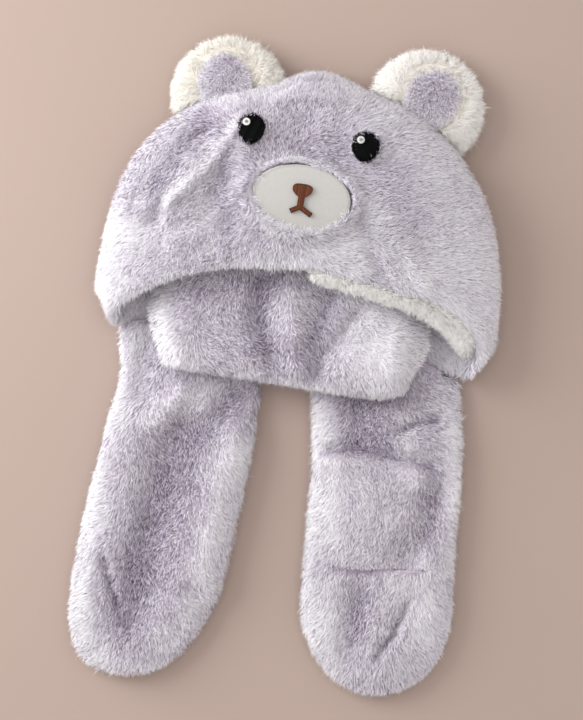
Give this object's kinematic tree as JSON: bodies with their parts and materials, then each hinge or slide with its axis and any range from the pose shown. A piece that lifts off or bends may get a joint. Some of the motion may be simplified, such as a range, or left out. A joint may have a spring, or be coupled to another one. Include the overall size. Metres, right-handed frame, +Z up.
{
  "type": "plush bear hood with scarf ends",
  "caption": "Toddler's plush hood with round ears and an embroidered bear face, a padded neck band, and long padded scarf ends with a hand pocket.",
  "frame": {"origin": "on the lying plane, under the middle of the part's box", "axes": "+Z up from the lying face; +Y from the scarf ends' tips towards the crown; +X to the right, seen from above with the face up"},
  "size_m": [0.303, 0.4614, 0.0605],
  "materials": {
    "lilac_plush": "short soft pile",
    "white_plush": "short fluffy pile",
    "muzzle_felt": "smooth felt",
    "black_thread": "satin embroidery",
    "white_thread": "satin embroidery",
    "brown_thread": "satin embroidery"
  },
  "bodies": {
    "root": {"hood_shell": "lilac_plush", "lining_roll": "white_plush", "neck_band": "lilac_plush", "left_scarf_end": "lilac_plush", "right_scarf_end": "lilac_plush", "left_ear": "white_plush", "left_ear_pad": "lilac_plush", "right_ear": "white_plush", "right_ear_pad": "lilac_plush", "left_eye": "black_thread", "left_eye_glint": "white_thread", "right_eye": "black_thread", "right_eye_glint": "white_thread", "muzzle_patch": "muzzle_felt", "nose_and_mouth": "brown_thread"}
  },
  "joints": []
}
